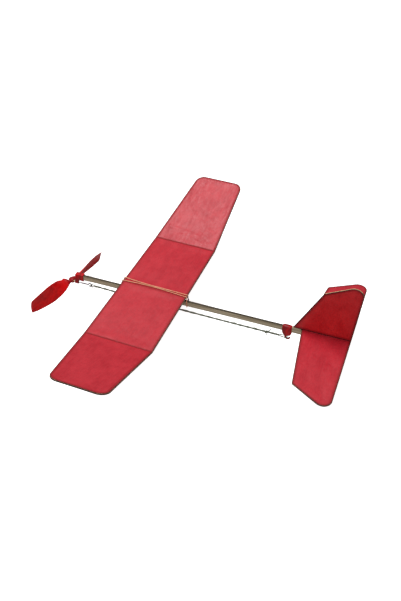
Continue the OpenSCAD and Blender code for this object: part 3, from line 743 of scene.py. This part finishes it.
def make_wing_band(materials):
    """Two runs of one rubber band over the wing, hooked under the stick at each end, as in part.scad."""
    thick, wide, bend, over_wing = 1.15, 1.5, 0.9, 0.82
    front, rear = -2.4, CHORD + 1.6

    def top(x):
        return LEADING_HEIGHT - x * math.sin(INCIDENCE) + over_wing

    def under_stick(x, side):
        return [(x, side * (STICK_W / 2 + bend * math.sin(a)), -STICK_H - bend * math.cos(a))
                for a in (math.radians(d) for d in (0, 45, 90))]

    def over_edge(x, z, out, y0, y1):
        return [(x + out * bend * math.cos(a), mix(y0, y1, a / math.radians(90)), z + bend * math.sin(a))
                for a in (math.radians(d) for d in (0, 45, 90))]

    def run(stations):
        return [(x, y, top(x)) for x, y in stations]

    route = [
        *under_stick(front, 1), (front, 3.5, 2), *over_edge(0, LEADING_HEIGHT, -1, 6.5, 6.9),
        *run([(4, 6.8), (16, 5.8), (30, 4.9), (46, 4.5), (62, 4.5), (80, 4.5), (96, 4.3)]),
        *reversed(over_edge(CHORD, TRAILING_HEIGHT, 1, 3.9, 4.2)), *reversed(under_stick(rear, 1)),
        *under_stick(rear, -1), (rear, -3, 0.3), *over_edge(CHORD, TRAILING_HEIGHT, 1, -1, -0.4),
        *run([(96, -0.2), (80, 1.0), (62, 2.2), (46, 2.5), (30, 2.1), (16, 1.2), (4, 0.2)]),
        *reversed(over_edge(0, LEADING_HEIGHT, -1, -0.45, 0)), (front, -3.25, 2),
        *reversed(under_stick(front, -1)),
    ]
    path = curve_through(route, 5, closed=True)
    band = tube(path, oval(wide, thick), closed=True, first=(1, 0, 0))
    add_piece("wing_rubber_band", band, materials, "band_rubber", "wing", "wing_band")


# ---- Tissue coverings ----

ARC_STEPS = 10
# How far a covering is cut back from the strips' outer edges, how far to each side it is glued on
# a rib, and the tissue's thickness.
TRIM, RIB_HALF, TISSUE_T = 0.3, 1.6, 0.22


def rounded(corner_points):
    """The outline of a convex shape from its corners, each (x, v, radius), in either direction."""
    outline = []
    count = len(corner_points)
    for i, (x, v, radius) in enumerate(corner_points):
        p = Vector((x, v))
        if not radius:
            outline.append(p)
            continue
        to_a = (Vector(corner_points[i - 1][:2]) - p).normalized()
        to_b = (Vector(corner_points[(i + 1) % count][:2]) - p).normalized()
        half = to_a.angle(to_b) / 2
        centre = p + (to_a + to_b).normalized() * radius / math.sin(half)
        start, stop = p + to_a * radius / math.tan(half), p + to_b * radius / math.tan(half)
        first = math.atan2(start.y - centre.y, start.x - centre.x)
        last = math.atan2(stop.y - centre.y, stop.x - centre.x)
        sweep = (last - first + math.pi) % (2 * math.pi) - math.pi
        for k in range(ARC_STEPS + 1):
            a = first + sweep * k / ARC_STEPS
            outline.append(centre + radius * Vector((math.cos(a), math.sin(a))))
    return outline


# Lengths under this count as nothing.
TINY = 1e-6


def edges_of(outline):
    return [(outline[i - 1], outline[i]) for i in range(len(outline))]


def distance_to(edge, p):
    a, b = edge
    along = b - a
    t = max(0.0, min(1.0, (p - a).dot(along) / max(along.length_squared, TINY ** 2)))
    return (p - a - along * t).length


def reach_at(outline, v):
    """The least and greatest x of a convex outline at the height v."""
    found = []
    for a, b in edges_of(outline):
        if (a.y - v) * (b.y - v) <= 0 and abs(a.y - b.y) > TINY:
            found.append(a.x + (b.x - a.x) * (v - a.y) / (b.y - a.y))
        elif abs(a.y - v) < TINY and abs(b.y - v) < TINY:
            found += [a.x, b.x]
    return min(found), max(found)


def row_places(outline, spacing):
    """Rows every spacing or less, with one at each of the outline's points that isn't too near
    another, and finer ones near both ends."""
    low, high = min(p.y for p in outline), max(p.y for p in outline)
    count = math.ceil((high - low) / spacing)
    near_ends, least_gap = [0.45, 1.0, 1.8], 0.4
    wanted = sorted({p.y for p in outline} | {mix(low, high, i / count) for i in range(count + 1)}
                    | {low + d for d in near_ends} | {high - d for d in near_ends})
    kept = [low]
    for v in wanted:
        if v - kept[-1] > least_gap and high - v > least_gap:
            kept.append(v)
    return kept + [high]


def columns(count, edge_share):
    """Shares from 0 to 1, finer at both edges, where the strips are."""
    fine = [edge_share * k for k in (0, 0.12, 0.3, 0.5, 0.85, 1.1, 1.6)]
    middle = [mix(fine[-1], 1 - fine[-1], i / count) for i in range(1, count)]
    return fine + middle + [1 - s for s in reversed(fine)]


def cut_back(outline, creases):
    """The outline pulled in toward its middle along X and V, but not along V on a crease."""
    middle = sum(outline, Vector((0, 0))) / len(outline)
    pull = TRIM * 0.85
    inset = []
    for p in outline:
        on_crease = any(abs(p.y - v) < TINY for v in creases)
        inward_x = pull if middle.x > p.x else -pull
        inward_v = pull if middle.y > p.y else -pull
        inset.append(p + Vector((inward_x, 0 if on_crease else inward_v)))
    return inset


def tissue_sheet(name, material, corners, place, strip, sag, wrinkle, ribs=(), creases=(),
                 flipped=False, count=36):
    """A covering glued on the strips round its outline, and on ribs and folds at the places ribs
    and creases along V. It sinks by sag between them, and has wrinkles. strip is the strips' width
    and count the number of columns between them."""
    spacing, crease_half, sink_run, wrinkle_run = 2.6, 1.1, 16, 4
    outline = rounded(corners)
    inset = cut_back(outline, creases)
    edges = [e for e in edges_of(outline)
             if not any(abs(e[0].y - v) < TINY and abs(e[1].y - v) < TINY for v in creases)]
    rows = row_places(inset, spacing)
    shares = columns(count, strip / (max(p.x for p in outline) - min(p.x for p in outline)))
    points, glued_and_shaded, crease, shaded_rim = [], [], [], []
    for v in rows:
        v_in = min(max(v, min(p.y for p in inset) + 0.01), max(p.y for p in inset) - 0.01)
        x0, x1 = reach_at(inset, v_in)
        for s in shares:
            p = Vector((mix(x0, x1, s), v_in))
            from_edge = min(distance_to(e, p) for e in edges)
            # The band along the outline, painted dark as shade in the material.
            shaded_rim.append(1 - smooth_step(TRIM + 0.3, TRIM + 1.5, from_edge))
            gap = min([from_edge - strip] + [abs(p.y - rib) - RIB_HALF for rib in ribs])
            free, loose = smooth_step(0, sink_run, gap), smooth_step(0, wrinkle_run, gap)
            points.append((p.x, p.y, -sag * free + wrinkle(p.x, p.y) * loose))
            # Where the tissue is glued on a strip; its colour is deepened there, partly for the glue and
            # partly as painted shade.
            glued_and_shaded.append(1 - smooth_step(-0.3, 0.9, gap))
            from_crease = min([abs(p.y - c) for c in creases], default=math.inf)
            crease.append(1 - smooth_step(crease_half * 0.4, crease_half * 1.6, from_crease))
    wide = len(shares)
    faces = [(r * wide + c, r * wide + c + 1, (r + 1) * wide + c + 1, (r + 1) * wide + c)
             for r in range(len(rows) - 1) for c in range(wide - 1)]
    piece = to_metres(name, points, faces, material, place, flipped)
    for attribute, values in (("glued_and_shaded", glued_and_shaded), ("crease", crease), ("shaded_rim", shaded_rim)):
        point_attribute(piece, attribute, values)
    solid = piece.modifiers.new("thickness", "SOLIDIFY")
    solid.thickness, solid.offset = TISSUE_T * MM, -1
    # The thin rim must not bend the shading of the wide faces beside it.
    piece.modifiers.new("flat_shading", "WEIGHTED_NORMAL").weight = 100
    return piece


def wrinkles(seed, height, across, along, angle, swell):
    """Gentle ripples of this height, across apart and along long, that run at angle to the chord.
    swell is the height of slower waves under them."""
    turn_c, turn_s = math.cos(angle), math.sin(angle)

    def at(x, v):
        a, b = x * turn_c + v * turn_s, -x * turn_s + v * turn_c
        ripple = noise.noise(Vector((a / along, b / across, seed)))
        ripple += 0.45 * noise.noise(Vector((a / along * 2.3, b / across * 2.1, seed + 7)))
        slow = noise.noise(Vector((x / 38, v / 44, seed + 3)))
        return height * ripple + swell * slow
    return at


def soft_folds(folds):
    """Lines raised or sunk in a sheet, each (height, half width, points along it)."""
    steps = 6
    paths = [(height, width, curve_through([(*p, 0) for p in points], steps))
             for height, width, points in folds]

    def at(x, v):
        p = Vector((x, v, 0))
        total = 0
        for height, width, path in paths:
            apart = min((p - q).length for q in path)
            total += height * math.exp(-(apart / width) ** 2)
        return total
    return at


def cover(name, replaced, material, corners, place, body, rests_on, **looks):
    """A sheet of tissue in place of a CAD covering. looks is for tissue_sheet."""
    piece = tissue_sheet(name, material, corners, place, **looks)
    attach(piece, body)
    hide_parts(replaced)


def make_wing_tissue(materials):
    centre = [(0, -CENTRE_HALF, 0), (CHORD, -CENTRE_HALF, 0), (CHORD, CENTRE_HALF, 0),
              (0, CENTRE_HALF, 0)]
    tip = [(0, 0, 0), (CHORD, 0, 0), (CHORD, TIP_LEN, TIP_REAR_ROUND),
           (TIP_SWEEP, TIP_LEN, TIP_FRONT_ROUND)]
    cover("centre_tissue", "centre_covering", materials["tissue"], centre, WING, "wing",
          ["centre_leading_strip", "centre_trailing_strip", "centre_rib", "left_break_rib",
           "right_break_rib"],
          strip=STRIP_W, sag=0.7, wrinkle=wrinkles(11, 0.10, 9, 40, 1.2, 0.25),
          ribs=(0, CENTRE_HALF, -CENTRE_HALF), creases=(CENTRE_HALF, -CENTRE_HALF))
    # The right tip's tissue is slack, with soft curved folds across it.
    slack = soft_folds([(0.9, 2.4, [(14, 27), (40, 24), (66, 19), (84, 9)]),
                        (0.8, 2.2, [(34, 16), (56, 14), (74, 8), (82, 4)]),
                        (0.7, 2.2, [(70, 24), (84, 17), (92, 7)]),
                        (-0.6, 3.0, [(26, 108), (30, 84), (50, 62), (74, 46), (90, 36)]),
                        (0.4, 2.8, [(40, 112), (44, 92), (60, 74), (84, 60)])])
    ripple = {"left": wrinkles(23, 0.12, 7, 46, 1.15, 0.35), "right": wrinkles(37, 0.3, 7, 46, 1.15, 0.35)}

    def right_wrinkle(x, v):
        return ripple["right"](x, v) + slack(x, v)

    for side, place, flipped, wrinkle in (("left", MIRROR @ TIP, True, ripple["left"]),
                                          ("right", TIP, False, right_wrinkle)):
        cover(f"{side}_tip_tissue", f"{side}_tip_covering", materials["tissue"], tip, place, "wing",
              [f"{side}_tip_leading", f"{side}_tip_end", f"{side}_tip_trailing", f"{side}_break_rib"],
              strip=STRIP_W, sag=0.8, flipped=flipped, creases=(0,), ribs=(0,), wrinkle=wrinkle)


def make_tail_tissue(materials):
    stab = [(STAB_FRONT, 0, 0), (STAB_FRONT + STAB_SWEEP, -STAB_FRONT_HALF, TAIL_FRONT_ROUND),
            (TAIL_END, -STAB_REAR_HALF, TAIL_ROUND), (TAIL_END, STAB_REAR_HALF, TAIL_ROUND),
            (STAB_FRONT + STAB_SWEEP, STAB_FRONT_HALF, TAIL_FRONT_ROUND)]
    stab_top = TAIL_STRIP_T + COVER_T
    foot_x = TAIL_END + FIN_LEAN / FIN_TOP_Z * stab_top
    fin = [(FIN_FOOT, stab_top, 0), (foot_x, stab_top, 0),
           (TAIL_END + FIN_LEAN, FIN_TOP_Z, TAIL_ROUND), (*FIN_CORNER, TAIL_FRONT_ROUND)]
    cover("stab_tissue", "stab_covering", materials["tissue"], stab,
          Matrix.Translation((0, 0, stab_top)), "fuselage",
          ["stab_leading_left", "stab_leading_right", "stab_trailing", "stab_tip_left",
           "stab_tip_right"],
          strip=TAIL_STRIP_W, sag=0.5, count=26, wrinkle=wrinkles(51, 0.08, 8, 30, 1.3, 0.2))
    upright = Matrix.Rotation(math.pi / 2, 4, "X")
    near_side = Matrix.Translation((0, -TAIL_STRIP_T / 2 - COVER_T, 0))
    cover("fin_tissue", "fin_covering", materials["fin_tissue"], fin, near_side @ upright, "fuselage",
          ["fin_base", "fin_leading", "fin_top", "fin_trailing"],
          strip=TAIL_STRIP_W, sag=0.4, count=26, wrinkle=wrinkles(67, 0.07, 8, 30, 0.4, 0.15))


# ---- CAD nodes ----

# The material of each CAD node and the width of its bevel. Those not named here are strips, ribs
# and coverings.
DRESS = {
    "motor_stick": ("stick_wood", 0.35), "nose_bearing": ("red_plastic", 0.8),
    "rear_hook": ("red_plastic", 0.4), "tail_packer": ("packer_wood", 0.15),
    "thrust_washers": ("washer_brass", 0), "thrust_bead": ("bead_plastic", 0.25),
    "propeller": ("propeller_plastic", 0), "prop_shaft": ("wire_steel", 0),
    "wing_mount": ("mount_plastic", 0.25), "wing_band": ("band_rubber", 0),
    "front_wing_clip": ("black_wire", 0), "rear_wing_clip": ("black_wire", 0),
    "rubber_front_loop": ("motor_rubber", 0), "rubber_motor": ("motor_rubber", 0),
    "rubber_knot": ("motor_rubber", 0), "rubber_rear_loop": ("motor_rubber", 0),
}


def dress_cad(materials):
    """Every CAD node takes its procedural material, and a small bevel where it has sharp edges."""
    strip_bevel = 0.08
    for name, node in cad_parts.items():
        strip = ("fin_wood" if name.startswith("fin_") else "strip_wood", strip_bevel)
        slot, bevel = DRESS.get(name, strip)
        node.data.materials.clear()
        node.data.materials.append(materials[slot])
        if bevel:
            made = node.modifiers.new("edges", "BEVEL")
            made.width, made.segments, made.limit_method = bevel * MM, 2, "ANGLE"
            made.angle_limit = math.radians(35)
            made.harden_normals = True


make_camera()
make_stage()
materials = make_materials()
make_wing_tissue(materials)
make_tail_tissue(materials)
make_propeller(materials)
make_shaft(materials)
make_rear_hook(materials)
make_strands(materials)
make_front_loop(materials)
make_rear_loop(materials)
make_knot(materials)
make_wing_band(materials)
dress_cad(materials)
